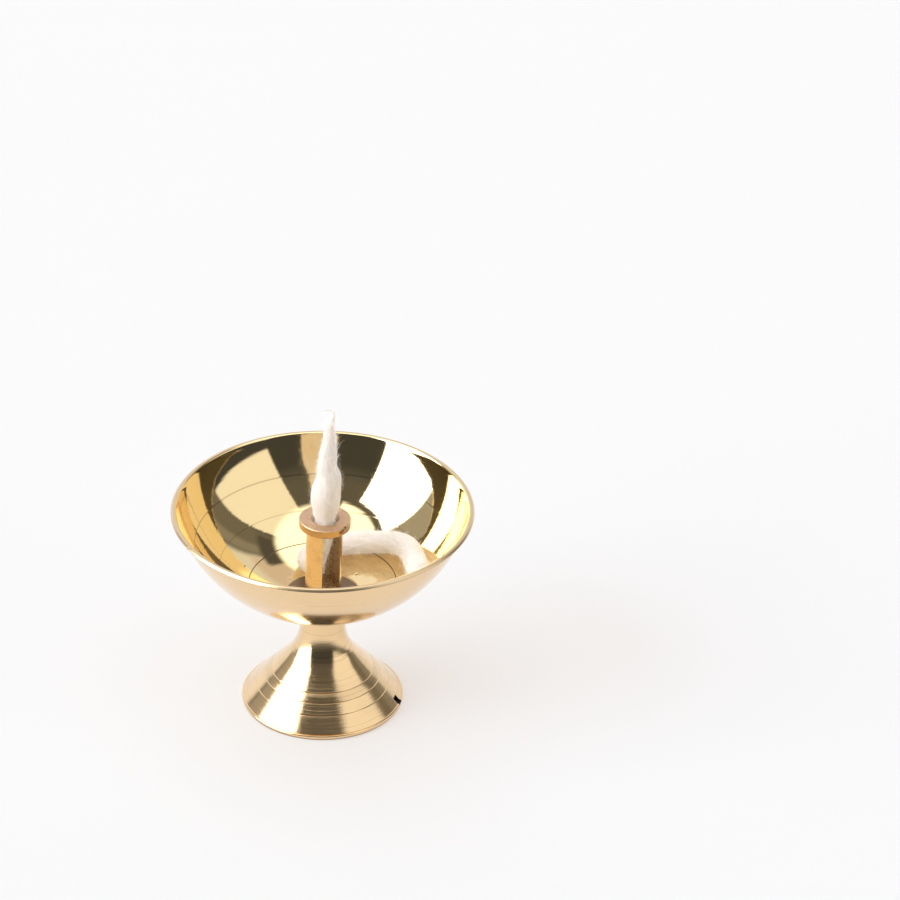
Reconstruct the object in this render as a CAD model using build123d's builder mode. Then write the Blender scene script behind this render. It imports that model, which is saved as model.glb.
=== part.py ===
"""Small brass lamp: a thin bowl on a flared foot, with a slotted post that holds a cotton wick."""
import os
from math import cos, pi, radians, sqrt, tan

from build123d import *

os.makedirs("parts", exist_ok=True)

# Foot: flared and hollow, sizes in millimetres
foot_height = 27.5
foot_base_diameter = 38.0
foot_edge_height = 1.2
foot_edge_ledge = 0.5
foot_edge_round = 0.4
neck_diameter = 10.6
flare_radius = 13.0
skirt_angle = 41.9
foot_wall = 1.9
foot_ring_places = (0.685, 0.7625, 0.858)
pinhole_width = 1.8
pinhole_height = 1.6
pinhole_bottom = 0.8
pinhole_bearing = -14.5
# Most of an edge's room that a round may take
fillet_share = 0.9

# Bowl: thin, with a flat floor, a round wall that thins towards the rim, and an out-turned lip
bowl_diameter = 70.0
bowl_depth = 23.7
bowl_floor_wall = 0.9
bowl_middle_wall = 0.55
bowl_rim_wall = 0.4
bowl_floor_diameter = 17.8
bowl_wall_bulge = 4.45
lip_width = 1.25
lip_height = 0.7
lip_round = 0.3
mouth_round = 0.3
bowl_inner_ring_places = (0.25, 0.48, 0.725)
bowl_outer_ring_place = 0.18
ring_line_width = 0.24

# Post: slotted tube with a flange on top and a threaded stud below
post_diameter = 8.4
post_wall = 1.4
post_boss_height = 3.0
post_height = 20.9
flange_diameter = 12.0
flange_thickness = 2.0
flange_chamfer = 0.2
slot_width = 4.8
slot_bearing = 120.0
stud_diameter = 6.0
stud_clearance = 0.15
stud_past_nut = 1.2

# Nut inside the foot
nut_across_flats = 10.0
nut_height = 5.0
nut_thread_clearance = 0.05
nut_room = 1.0
nut_corner_bevel = 30.0

# Cotton wick: standing end and tail
wick_clearance = 0.2
wick_gap = 0.4
wick_rise = 25.0
wick_lean = 2.1
wick_bulge_diameter = 6.7
wick_tip_diameter = 1.6
# Each step up the wick: share of the rise, of the lean and of the bulge
wick_steps = [(0.2, 0.36, 1.0), (0.41, 0.6, 0.93), (0.56, 0.6, 0.74), (0.72, 0.7, 0.58)]
wisp_diameter = 0.9
wisp_rise = 2.4
wisp_reach = 2.7
tail_diameter = 4.4
tail_bend_share = 0.45
tail_route = [
    (-0.8, 1.39, 33.8),
    (-3.4, 5.89, 33.6),
    (-2.6, 10.6, 32.5),
    (1.4, 13.7, 32.9),
    (6.6, 14.0, 33.8),
    (11.7, 12.6, 34.8),
    (16.4, 10.3, 36.3),
    (20.0, 6.2, 37.5),
    (21.2, 0.6, 37.7),
    (22.0, -4.9, 38.9),
    (21.9, -10.0, 40.6),
    (21.0, -15.0, 42.6),
]

# Places that follow from the sizes
stud_radius = stud_diameter / 2
stud_hole_radius = stud_radius + stud_clearance
post_radius = post_diameter / 2
post_bore_radius = post_radius - post_wall
neck_radius = neck_diameter / 2
base_radius = foot_base_diameter / 2
skirt_radius = base_radius - foot_edge_ledge
skirt_spread = tan(radians(skirt_angle))
flare_corner_height = foot_edge_height + (skirt_radius - neck_radius) / skirt_spread
flare_room = min(foot_height, 2 * flare_corner_height) - flare_corner_height
flare_fillet = min(flare_radius, fillet_share * flare_room / tan(radians(skirt_angle / 2)))
base_edge_fillet = min(foot_edge_round, fillet_share * foot_edge_height / 2, fillet_share * foot_edge_ledge)
lip_fillet = min(lip_round, fillet_share * lip_height / 2)
mouth_fillet = min(mouth_round, fillet_share * (lip_width - lip_fillet), fillet_share * lip_height)
hollow_radius = skirt_radius + foot_edge_height * skirt_spread - foot_wall / cos(radians(skirt_angle))
pinhole_inner_end = hollow_radius - (pinhole_bottom + pinhole_height) * skirt_spread
pinhole_length = base_radius + foot_edge_ledge - pinhole_inner_end
nut_corner_radius = nut_across_flats / 2 / cos(pi / 6)
nut_seat_radius = nut_corner_radius + nut_room
nut_seat_height = (hollow_radius - nut_seat_radius) / skirt_spread
bowl_floor_height = foot_height + bowl_floor_wall
bowl_rim_height = bowl_floor_height + bowl_depth
bowl_floor_radius = bowl_floor_diameter / 2
bowl_mouth_radius = bowl_diameter / 2 - lip_width
slot_floor_height = bowl_floor_height + post_boss_height
flange_top_height = bowl_floor_height + post_height
flange_under_height = flange_top_height - flange_thickness
flange_radius = flange_diameter / 2
stud_end_height = nut_seat_height - nut_height - stud_past_nut
nut_corner_drop = (nut_corner_radius - nut_across_flats / 2) * tan(radians(nut_corner_bevel))
wick_radius = post_bore_radius - wick_clearance
wick_foot_height = slot_floor_height + wick_clearance + tail_diameter + wick_gap
wick_outline = [(0, 0, wick_radius)]
for rise_share, lean_share, bulge_share in wick_steps:
    step_radius = bulge_share * wick_bulge_diameter / 2
    wick_outline.append((rise_share * wick_rise, lean_share * wick_lean, step_radius))
wick_outline.append((wick_rise, wick_lean, wick_tip_diameter / 2))
wisp_root_height = flange_top_height + wick_rise - wisp_diameter
wisp_start = (wick_lean, wisp_root_height)
wisp_bend = (wick_lean + wisp_diameter / 2, wisp_root_height + wisp_rise)
wisp_end = (wick_lean - wisp_reach, wisp_root_height + wisp_rise + wisp_diameter)

# Foot: one turned profile, with scribed rings and a pinhole near the edge
with BuildPart() as foot:
    with BuildSketch(Plane.XZ):
        with BuildLine():
            skin = FilletPolyline(
                (neck_radius, foot_height),
                (neck_radius, flare_corner_height),
                (skirt_radius, foot_edge_height),
                radius=flare_fillet,
            )
            Polyline(
                skin @ 1,
                (base_radius, foot_edge_height),
                (base_radius, 0),
                (hollow_radius, 0),
                (nut_seat_radius, nut_seat_height),
                (stud_hole_radius, nut_seat_height),
                (stud_hole_radius, foot_height),
                skin @ 0,
            )
        make_face()
    revolve(axis=Axis.Z)
    base_edges = foot.edges().filter_by(Plane.XY).group_by(SortBy.RADIUS)[-1]
    fillet(base_edges, radius=base_edge_fillet)
    with BuildSketch(Plane.XZ):
        with Locations(*[skin @ place for place in foot_ring_places]):
            Circle(ring_line_width / 2)
    revolve(axis=Axis.Z, mode=Mode.SUBTRACT)
    with BuildSketch(Plane.XY.offset(pinhole_bottom).rotated((0, 0, pinhole_bearing))):
        with Locations((pinhole_inner_end, 0)):
            Rectangle(pinhole_length, pinhole_width, align=(Align.MIN, Align.CENTER))
    extrude(amount=pinhole_height, mode=Mode.SUBTRACT)
foot.part.label = "foot"
export_step(foot.part, "parts/foot.step")

# Bowl: flat floor, round wall, the lip around the mouth with its inner edge eased, scribed rings on both sides
with BuildPart() as bowl:
    with BuildSketch(Plane.XZ):
        with BuildLine():
            floor_line = Line((stud_hole_radius, bowl_floor_height), (bowl_floor_radius, bowl_floor_height))
            inner_wall = SagittaArc(floor_line @ 1, (bowl_mouth_radius, bowl_rim_height), -bowl_wall_bulge)
            wall_centre = inner_wall.arc_center
            lip_under_height = bowl_rim_height - lip_height
            inner_reach = sqrt(inner_wall.radius**2 - (wall_centre.Y - lip_under_height) ** 2)
            lip_under_radius = wall_centre.X + inner_reach + bowl_rim_wall
            middle_outward = (inner_wall @ 0.5 - wall_centre).normalized()
            outer_middle = inner_wall @ 0.5 + bowl_middle_wall * middle_outward
            lip_line = Polyline(
                inner_wall @ 1,
                (bowl_diameter / 2, bowl_rim_height),
                (bowl_diameter / 2, lip_under_height),
                (lip_under_radius, lip_under_height),
            )
            outer_wall = ThreePointArc(lip_line @ 1, outer_middle, (bowl_floor_radius, foot_height))
            Polyline(outer_wall @ 1, (stud_hole_radius, foot_height), floor_line @ 0)
        make_face()
    revolve(axis=Axis.Z)
    lip_edges = bowl.edges().filter_by(Plane.XY).group_by(SortBy.RADIUS)[-1]
    fillet(lip_edges, radius=lip_fillet)
    mouth_edge = bowl.edges().filter_by(Plane.XY).group_by(Axis.Z)[-1].sort_by(SortBy.LENGTH)[0]
    fillet(mouth_edge, radius=mouth_fillet)
    with BuildSketch(Plane.XZ):
        inner_rings = [inner_wall @ place for place in bowl_inner_ring_places]
        with Locations(*inner_rings, outer_wall @ bowl_outer_ring_place):
            Circle(ring_line_width / 2)
    revolve(axis=Axis.Z, mode=Mode.SUBTRACT)
bowl.part.label = "bowl"
export_step(bowl.part, "parts/bowl.step")

# Post: boss, tube, flange and stud turned in one, then slotted through both walls above the boss
with BuildPart() as wick_post:
    with BuildSketch(Plane.XZ):
        with BuildLine():
            Polyline(
                (0, stud_end_height),
                (stud_radius, stud_end_height),
                (stud_radius, bowl_floor_height),
                (post_radius, bowl_floor_height),
                (post_radius, flange_under_height),
                (flange_radius, flange_under_height),
                (flange_radius, flange_top_height),
                (post_bore_radius, flange_top_height),
                (post_bore_radius, slot_floor_height),
                (0, slot_floor_height),
                close=True,
            )
        make_face()
    revolve(axis=Axis.Z)
    flange_edges = wick_post.edges().filter_by(Plane.XY).group_by(SortBy.RADIUS)[-1]
    chamfer(flange_edges, length=flange_chamfer)
    with BuildSketch(Plane.XY.offset(slot_floor_height)):
        Rectangle(2 * post_diameter, slot_width, rotation=slot_bearing)
    extrude(amount=flange_under_height - slot_floor_height, mode=Mode.SUBTRACT)
wick_post.part.label = "wick_post"
export_step(wick_post.part, "parts/wick_post.step")

# Nut: hexagon with turned corners, seated under the neck
with BuildPart() as clamp_nut:
    with BuildSketch(Plane.XY.offset(nut_seat_height - nut_height)):
        RegularPolygon(nut_across_flats / 2, 6, major_radius=False)
        Circle(stud_radius + nut_thread_clearance, mode=Mode.SUBTRACT)
    extrude(amount=nut_height)
    with BuildSketch(Plane.XZ):
        with BuildLine():
            Polyline(
                (0, nut_seat_height - nut_height),
                (nut_across_flats / 2, nut_seat_height - nut_height),
                (nut_corner_radius, nut_seat_height - nut_height + nut_corner_drop),
                (nut_corner_radius, nut_seat_height - nut_corner_drop),
                (nut_across_flats / 2, nut_seat_height),
                (0, nut_seat_height),
                close=True,
            )
        make_face()
    revolve(axis=Axis.Z, mode=Mode.INTERSECT)
clamp_nut.part.label = "clamp_nut"
export_step(clamp_nut.part, "parts/clamp_nut.step")

# Standing wick: straight in the bore, swollen above the flange, then drawn out to a curled wisp
with BuildPart() as wick:
    with BuildSketch(Plane.XY.offset(wick_foot_height)):
        Circle(wick_radius)
    extrude(amount=flange_top_height - wick_foot_height)
    for rise, lean, radius in wick_outline:
        with BuildSketch(Plane.XY.offset(flange_top_height + rise)):
            with Locations((lean, 0)):
                Circle(radius)
    loft()
    with BuildLine(Plane.XZ) as wisp:
        wisp_root = Line(wisp_start, wisp_bend)
        TangentArc(wisp_root @ 1, wisp_end, tangent=wisp_root % 1)
    with BuildSketch(Plane(origin=wisp.line @ 0, z_dir=wisp.line % 0)):
        Circle(wisp_diameter / 2)
    sweep(path=wisp.line)
wick.part.label = "wick"
export_step(wick.part, "parts/wick.step")

# Tail: one strand that leaves the slot at the back and lies round the bowl wall
tail_points = [Vector(*point) for point in tail_route]
tail_runs = [end - start for start, end in zip(tail_points, tail_points[1:])]
tail_radii = []
for before, after in zip(tail_runs, tail_runs[1:]):
    half_turn = radians(before.get_angle(after)) / 2
    tail_radii.append(tail_bend_share * min(before.length, after.length) / tan(half_turn))
with BuildPart() as wick_tail:
    with BuildLine():
        tail_path = FilletPolyline(*tail_points, radius=tail_radii)
    with BuildSketch(Plane(origin=tail_path @ 0, z_dir=tail_path % 0)):
        Circle(tail_diameter / 2)
    sweep(path=tail_path)
wick_tail.part.label = "wick_tail"
export_step(wick_tail.part, "parts/wick_tail.step")
print("tail bend radii:", [round(radius, 1) for radius in tail_radii])
print("tail length:", round(tail_path.length, 1))
tail_plain_volume = pi * tail_diameter**2 / 4 * tail_path.length
print("tail volume over section times length:", round(wick_tail.part.volume / tail_plain_volume, 4))
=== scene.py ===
import random
from math import asin, atan, cos, degrees, hypot, pi, radians, sin, sqrt, tan

import bpy
from mathutils import Matrix, Quaternion, Vector, noise


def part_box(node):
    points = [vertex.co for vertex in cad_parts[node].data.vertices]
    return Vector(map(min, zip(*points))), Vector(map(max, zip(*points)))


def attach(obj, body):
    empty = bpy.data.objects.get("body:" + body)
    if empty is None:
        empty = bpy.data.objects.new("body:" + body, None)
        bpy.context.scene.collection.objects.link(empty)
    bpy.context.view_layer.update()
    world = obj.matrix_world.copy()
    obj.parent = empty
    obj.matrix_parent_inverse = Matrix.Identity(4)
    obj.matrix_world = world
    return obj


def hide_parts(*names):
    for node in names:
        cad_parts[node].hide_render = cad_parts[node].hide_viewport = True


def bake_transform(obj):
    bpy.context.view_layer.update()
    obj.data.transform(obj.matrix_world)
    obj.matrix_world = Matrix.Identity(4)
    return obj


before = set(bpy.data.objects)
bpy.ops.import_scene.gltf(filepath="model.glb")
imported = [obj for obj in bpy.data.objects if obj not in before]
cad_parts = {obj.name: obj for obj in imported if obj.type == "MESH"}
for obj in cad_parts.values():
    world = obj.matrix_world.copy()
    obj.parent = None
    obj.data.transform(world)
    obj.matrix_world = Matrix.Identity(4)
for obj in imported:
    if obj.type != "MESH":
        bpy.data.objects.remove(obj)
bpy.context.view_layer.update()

# Camera: a long lens well back from the table, looking down on the lamp from the front.
# It aims a little past the lamp, which so stands left of and below the middle of the picture.
MM = 0.001
PICTURE_WIDTH = 900
SENSOR_WIDTH = 36
PIXELS_PER_TANGENT = 4200
LAMP_PIXEL = (322.7, 588.2)
CAMERA_HEIGHT_ANGLE = radians(33.04)
CAMERA_DISTANCE = 979.5 * MM
LAMP_MIDDLE = Vector((0, 0, 30 * MM))
bpy.ops.object.select_all(action="DESELECT")
bpy.ops.object.camera_add()
camera = bpy.context.object
camera.data.sensor_width = SENSOR_WIDTH
camera.data.lens = SENSOR_WIDTH * PIXELS_PER_TANGENT / PICTURE_WIDTH
back = Vector((0, -cos(CAMERA_HEIGHT_ANGLE), sin(CAMERA_HEIGHT_ANGLE)))
camera.location = LAMP_MIDDLE + CAMERA_DISTANCE * back
aim_right = atan((PICTURE_WIDTH / 2 - LAMP_PIXEL[0]) / PIXELS_PER_TANGENT)
aim_up = atan((LAMP_PIXEL[1] - PICTURE_WIDTH / 2) / PIXELS_PER_TANGENT)
camera.rotation_mode = "QUATERNION"
level = (-back).to_track_quat("-Z", "Y")
camera.rotation_quaternion = level @ Quaternion((0, 1, 0), -aim_right) @ Quaternion((1, 0, 0), aim_up)
bpy.context.scene.camera = camera

# Studio: a pale table under a large overhead panel, with a strong soft box on the left, a weaker one on
# the right, a pale wall behind and a dark room on the camera's side. The panels are painted on the sky.
DARK_ROOM = (0.062, 0.064, 0.064)
TABLE_LIGHT = (0.97, 0.97, 0.97)
TABLE_CARD = (0.28, 0.36, 0.43)
CARD_MOTTLE = 0.98
CARD_MOTTLE_SCALE = 9.0
TABLE_GLOW = (0.632, 0.538, 0.475)
TABLE_FRONT = -82 * MM
COVERED_RADIUS = 18 * MM
TABLE_WIDTH = 8.0
HORIZON_EDGE = 0.5
PANEL_MIDDLE_HEIGHT = 30.0
# Each panel: bearing from the camera's side in degrees, height above the table in degrees, edge, lean of
# its sides in degrees of bearing for each degree of height, light, and how many times brighter it shows
# in metal, first seen straight in it and then seen again from metal to metal.
PANELS = [
    ("upper_room", (-200, 200), (32, 90), 9.0, 0.0, (0.13, 0.125, 0.115), 1.0, 1.0),
    ("right_box", (39.4, 98), (9, 90), 1.2, 0.17, (1.06, 1.05, 1.02), 1.0, 1.0),
    ("left_box", (-98.3, -46.7), (1, 49), 1.0, -0.09, (4.7, 4.7, 4.7), 1.8, 1.4),
    ("right_wing", (98, 123), (-90, 90), 1.5, 0.0, (0.185, 0.175, 0.155), 1.0, 1.0),
    ("right_wing_back", (114, 123), (-90, 90), 2.5, 0.0, (0.29, 0.275, 0.245), 1.0, 1.0),
    ("left_wing", (-122, -98.5), (-90, 90), 1.5, 0.0, (0.42, 0.41, 0.39), 1.0, 1.0),
    ("right_wall", (126, 200), (-90, 90), 4.0, 0.0, (0.84, 0.84, 0.84), 1.0, 1.0),
    ("right_wall_top", (128, 172), (37, 60), 4.0, 0.0, (0.72, 0.63, 0.60), 1.0, 1.0),
    ("left_wall", (-200, -126), (-90, 90), 4.0, 0.0, (1.0, 1.0, 1.0), 1.0, 1.0),
    ("right_gap", (101, 136), (46, 90), 2.5, 0.0, (0.1, 0.095, 0.09), 1.0, 1.0),
    ("overhead_left", (-200, -26), (54.5, 100), 1.5, 0.0, (1.45, 1.45, 1.42), 1.25, 1.25),
    ("overhead_right", (-26, 200), (58.5, 100), 3.0, 0.0, (1.45, 1.45, 1.42), 1.25, 1.25),
]


def ramp(nodes, links, value, low, high):
    """A smooth step from 0 at low to 1 at high."""
    step = nodes.new("ShaderNodeMapRange")
    step.interpolation_type = "SMOOTHSTEP"
    step.inputs["From Min"].default_value = low
    step.inputs["From Max"].default_value = high
    links.new(value, step.inputs["Value"])
    return step.outputs["Result"]


def calculated(nodes, links, operation, *sources):
    """A Math node, whose inputs are sockets or numbers."""
    math = nodes.new("ShaderNodeMath")
    math.operation = operation
    for socket, source in zip(math.inputs, sources):
        if isinstance(source, (int, float)):
            socket.default_value = source
        else:
            links.new(source, socket)
    return math.outputs["Value"]


def mixed(nodes, links, share, first, second):
    """A colour between two, each a socket or a colour, by a share that is a socket."""
    mix = nodes.new("ShaderNodeMix")
    mix.data_type = "RGBA"
    links.new(share, mix.inputs["Factor"])
    for socket, source in ((mix.inputs["A"], first), (mix.inputs["B"], second)):
        if isinstance(source, tuple):
            socket.default_value = (*source, 1)
        else:
            links.new(source, socket)
    return mix.outputs["Result"]


def blank_material(name):
    """A new material with nodes: gives it, its nodes, its links and its shader."""
    material = bpy.data.materials.new(name)
    material.use_nodes = True
    nodes, links = material.node_tree.nodes, material.node_tree.links
    return material, nodes, links, nodes["Principled BSDF"]


def object_place(nodes, links):
    """Where a point is on its piece: the place in one, and the same split into X, Y and Z."""
    place = nodes.new("ShaderNodeTexCoord")
    axes = nodes.new("ShaderNodeSeparateXYZ")
    links.new(place.outputs["Object"], axes.inputs["Vector"])
    return place.outputs["Object"], axes.outputs


def from_axis(nodes, links, axes):
    """How far a point is from the upright axis."""
    flat = nodes.new("ShaderNodeCombineXYZ")
    for axis in ("X", "Y"):
        links.new(axes[axis], flat.inputs[axis])
    length = nodes.new("ShaderNodeVectorMath")
    length.operation = "LENGTH"
    links.new(flat.outputs["Vector"], length.inputs[0])
    return length.outputs["Value"]


def paint_sky():
    """One World whose colour is the panels, looked up by direction.
    The camera itself sees a pale wall."""
    sky = bpy.data.worlds.new("studio")
    sky.use_nodes = True
    nodes, links = sky.node_tree.nodes, sky.node_tree.links
    place = nodes.new("ShaderNodeTexCoord")
    axes = nodes.new("ShaderNodeSeparateXYZ")
    links.new(place.outputs["Generated"], axes.inputs["Vector"])
    front = calculated(nodes, links, "MULTIPLY", axes.outputs["Y"], -1.0)
    turn = calculated(nodes, links, "ARCTAN2", axes.outputs["X"], front)
    bearing = calculated(nodes, links, "MULTIPLY", turn, degrees(1))
    rise = calculated(nodes, links, "ARCSINE", axes.outputs["Z"])
    height = calculated(nodes, links, "MULTIPLY", rise, degrees(1))
    over_middle = calculated(nodes, links, "SUBTRACT", height, PANEL_MIDDLE_HEIGHT)
    path = nodes.new("ShaderNodeLightPath")
    seen_again = calculated(nodes, links, "GREATER_THAN", path.outputs["Glossy Depth"], 1)
    colour = DARK_ROOM
    for _, (left, right), (low, high), edge, lean, light, in_metal, again in PANELS:
        upright_bearing = calculated(nodes, links, "MULTIPLY_ADD", over_middle, lean, bearing)
        after_left = ramp(nodes, links, upright_bearing, left - edge, left + edge)
        before_right = ramp(nodes, links, upright_bearing, right + edge, right - edge)
        above = ramp(nodes, links, height, low - edge, low + edge)
        below = ramp(nodes, links, height, high + edge, high - edge)
        across = calculated(nodes, links, "MULTIPLY", after_left, before_right)
        upright = calculated(nodes, links, "MULTIPLY", above, below)
        share = calculated(nodes, links, "MULTIPLY", across, upright)
        straight, later = [tuple(gain * level for level in light) for gain in (in_metal, again)]
        shown = mixed(nodes, links, path.outputs["Is Glossy Ray"], light, straight)
        shown = mixed(nodes, links, seen_again, shown, later)
        colour = mixed(nodes, links, share, colour, shown)
    under_table = ramp(nodes, links, height, 0.0, -HORIZON_EDGE)
    colour = mixed(nodes, links, under_table, colour, TABLE_LIGHT)
    colour = mixed(nodes, links, path.outputs["Is Camera Ray"], colour, TABLE_LIGHT)
    links.new(colour, nodes["Background"].inputs["Color"])
    bpy.context.scene.world = sky


def table_material():
    """Matt white card with the faintest mottle, lit from within as well, so that shadows on it stay
    pale. In the metal it ends at its front edge, past which the dark room shows, and it is dark under
    the lamp."""
    material, nodes, links, shader = blank_material("table_card")
    shader.inputs["Roughness"].default_value = 0.8
    shader.inputs["Specular IOR Level"].default_value = 0.2
    shader.inputs["Emission Strength"].default_value = 1.0
    place, axes = object_place(nodes, links)
    mottle = nodes.new("ShaderNodeTexNoise")
    mottle.inputs["Scale"].default_value = CARD_MOTTLE_SCALE
    links.new(place, mottle.inputs["Vector"])
    darker = tuple(CARD_MOTTLE * tint for tint in TABLE_CARD)
    card = mixed(nodes, links, mottle.outputs["Fac"], TABLE_CARD, darker)
    path = nodes.new("ShaderNodeLightPath")
    past_front = ramp(nodes, links, axes["Y"], TABLE_FRONT + MM, TABLE_FRONT - MM)
    ended = calculated(nodes, links, "MULTIPLY", past_front, path.outputs["Is Glossy Ray"])
    links.new(mixed(nodes, links, ended, card, DARK_ROOM), shader.inputs["Base Color"])
    from_lamp = from_axis(nodes, links, axes)
    covered = ramp(nodes, links, from_lamp, COVERED_RADIUS, COVERED_RADIUS - MM)
    dark = calculated(nodes, links, "MAXIMUM", ended, covered)
    links.new(mixed(nodes, links, dark, TABLE_GLOW, DARK_ROOM), shader.inputs["Emission Color"])
    return material


paint_sky()
bpy.context.scene.view_settings.view_transform = "Standard"
bpy.ops.object.select_all(action="DESELECT")
bpy.ops.mesh.primitive_plane_add(size=TABLE_WIDTH)
table = bpy.context.object
table.name = "table"
table.data.materials.append(table_material())

# Foot: a thin hollow cone of brass, turned on a lathe from a flared casting, with three scribed rings,
# a rolled lower edge and a small pinhole through the skirt. The bowl sits on its neck.
FOOT_TOP = 27.5
NECK_RADIUS = 5.3
FLARE_RADIUS = 13.0
SKIRT_ANGLE = radians(41.9)
SKIRT_RADIUS = 18.5
FLARE_STEPS = 24
SKIRT_STEPS = 40
EDGE_RADIUS = 19.0
EDGE_HEIGHT = 1.2
EDGE_ROUND = 0.4
EDGE_STEPS = 6
SKIRT_WALL = 1.9
STUD_HOLE_RADIUS = 3.15
FOOT_RINGS = (5.05, 7.45, 10.4)
RING_WIDTH = 0.2
RING_DEPTH = 0.045
RING_SHOULDERS = (-0.8, -0.5, 0.5, 0.8)
BAND_SWELL = 0.05
BAND_EDGE = 0.1
PINHOLE_SIZE = (6.0, 1.8, 1.6)
PINHOLE_HEIGHT = 0.8
PINHOLE_BEARING = radians(-14.5)
LATHE_SIDES = 256
MERGE_DISTANCE = 0.001 * MM
SMOOTH_ANGLE = radians(28)
BRASS = (0.90, 0.705, 0.385)
SATIN_BRASS = (0.87, 0.625, 0.345)
OLD_BRASS = (0.42, 0.29, 0.15)
# Painted contact shadow: the brown of the foot's lowest edge, where it meets the table.
CONTACT_SHADE_BROWN = (0.34, 0.25, 0.17)
SOOT = (0.02, 0.014, 0.01)
CONTACT_SHADE_START = 0.6 * EDGE_HEIGHT
CONTACT_SHADE_END = 0.2 * EDGE_HEIGHT
LINE_DEPTH = 0.018
HAIR_LINE_DEPTH = 0.012
LINE_DULLNESS = 0.25
CLOUD_DULLNESS = 0.12
BAND_DULLNESS = 0.14
FOOT_ROUGHNESS = 0.13
CLOUD_ROUGHNESS = 0.05
BAND_ROUGHNESS = 0.05
DEEP_LINES = (0.42, 0.30)
CLOUD_EDGES = (0.45, 0.75)
PIT_EDGES = (0.16, 0.06)


def arc(centre, radius, start, end, steps):
    """Points of an arc, as (distance from the axis, height), with its angles in degrees."""
    turns = [radians(start + (end - start) * step / steps) for step in range(steps + 1)]
    return [(centre[0] + radius * cos(turn), centre[1] + radius * sin(turn)) for turn in turns]


def scribed(skin, length, steps, rings, width, depths):
    """Points along a skin of that length, with a V-shaped line cut in it at each ring, to its own depth.
    skin(along, sink) gives a point at a distance along the skin, sunk below it."""
    marks = [(length * step / steps, 0.0) for step in range(steps + 1)]
    for ring, depth in zip(rings, depths):
        marks = [mark for mark in marks if abs(mark[0] - ring) > width]
        marks += [(ring + side * width, 0.0) for side in RING_SHOULDERS]
        marks.append((ring, depth))
    return [skin(along, sink) for along, sink in sorted(marks)]


def turned(name, outline, sides=LATHE_SIDES):
    """Draws the closed outline by extruding one point along it, and spins it round the upright axis."""
    bpy.ops.object.select_all(action="DESELECT")
    bpy.ops.mesh.primitive_plane_add(size=MM)
    piece = bpy.context.object
    piece.name = piece.data.name = name
    places = [Vector((radius * MM, 0, height * MM)) for radius, height in outline]
    bpy.ops.object.mode_set(mode="EDIT")
    bpy.ops.mesh.select_all(action="SELECT")
    bpy.ops.mesh.merge(type="CENTER")
    bpy.ops.transform.translate(value=places[0])
    for here, there in zip(places, places[1:] + places[:1]):
        bpy.ops.mesh.extrude_region_move(TRANSFORM_OT_translate={"value": there - here})
    bpy.ops.mesh.select_all(action="SELECT")
    bpy.ops.mesh.spin(steps=sides, angle=2 * pi, center=(0, 0, 0), axis=(0, 0, 1))
    bpy.ops.mesh.select_all(action="SELECT")
    bpy.ops.mesh.remove_doubles(threshold=MERGE_DISTANCE)
    bpy.ops.mesh.normals_make_consistent(inside=False)
    bpy.ops.object.mode_set(mode="OBJECT")
    bpy.ops.object.shade_smooth_by_angle(angle=SMOOTH_ANGLE)
    return piece


def block(size, middle, bearing):
    """A cutting block, in millimetres, turned about the upright axis by its bearing."""
    bpy.ops.object.select_all(action="DESELECT")
    bpy.ops.mesh.primitive_cube_add(size=MM)
    cutter = bpy.context.object
    cutter.scale = size
    cutter.location = Matrix.Rotation(bearing, 3, "Z") @ (Vector(middle) * MM)
    cutter.rotation_euler.z = bearing
    bpy.ops.object.transform_apply()
    return cutter


def cut(piece, cutter):
    """Takes the cutter's shape out of the piece, and the cutter away. The cut faces keep its material."""
    bpy.ops.object.select_all(action="DESELECT")
    piece.select_set(True)
    bpy.context.view_layer.objects.active = piece
    hole = piece.modifiers.new("hole", "BOOLEAN")
    hole.operation = "DIFFERENCE"
    hole.solver = "EXACT"
    hole.material_mode = "TRANSFER"
    hole.object = cutter
    bpy.ops.object.modifier_apply(modifier=hole.name)
    bpy.data.objects.remove(cutter)


def blank_group(name, inputs, outputs):
    """A new node group with those number sockets: gives it, its nodes, its links and its two ends."""
    group = bpy.data.node_groups.new(name, "ShaderNodeTree")
    for socket in inputs:
        group.interface.new_socket(socket, in_out="INPUT", socket_type="NodeSocketFloat")
    for socket in outputs:
        group.interface.new_socket(socket, in_out="OUTPUT", socket_type="NodeSocketFloat")
    given = group.nodes.new("NodeGroupInput")
    result = group.nodes.new("NodeGroupOutput")
    return group, group.nodes, group.links, given.outputs, result.inputs


def lathe_lines_group():
    """Fine turned lines round the upright axis: a height for bump, and a mask of the deeper lines."""
    group, nodes, links, given, result = blank_group(
        "lathe_lines", ("Outward", "Upward", "Pitch"), ("Height", "Deep")
    )
    _, axes = object_place(nodes, links)
    out = calculated(nodes, links, "MULTIPLY", from_axis(nodes, links, axes), given["Outward"])
    up = calculated(nodes, links, "MULTIPLY", axes["Z"], given["Upward"])
    along = calculated(nodes, links, "ADD", out, up)
    count = calculated(nodes, links, "DIVIDE", along, given["Pitch"])
    fine = nodes.new("ShaderNodeTexNoise")
    fine.noise_dimensions = "1D"
    fine.inputs["Scale"].default_value = 1.0
    fine.inputs["Detail"].default_value = 3.0
    links.new(count, fine.inputs["W"])
    links.new(fine.outputs["Fac"], result["Height"])
    links.new(ramp(nodes, links, fine.outputs["Fac"], *DEEP_LINES), result["Deep"])
    return group


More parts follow.
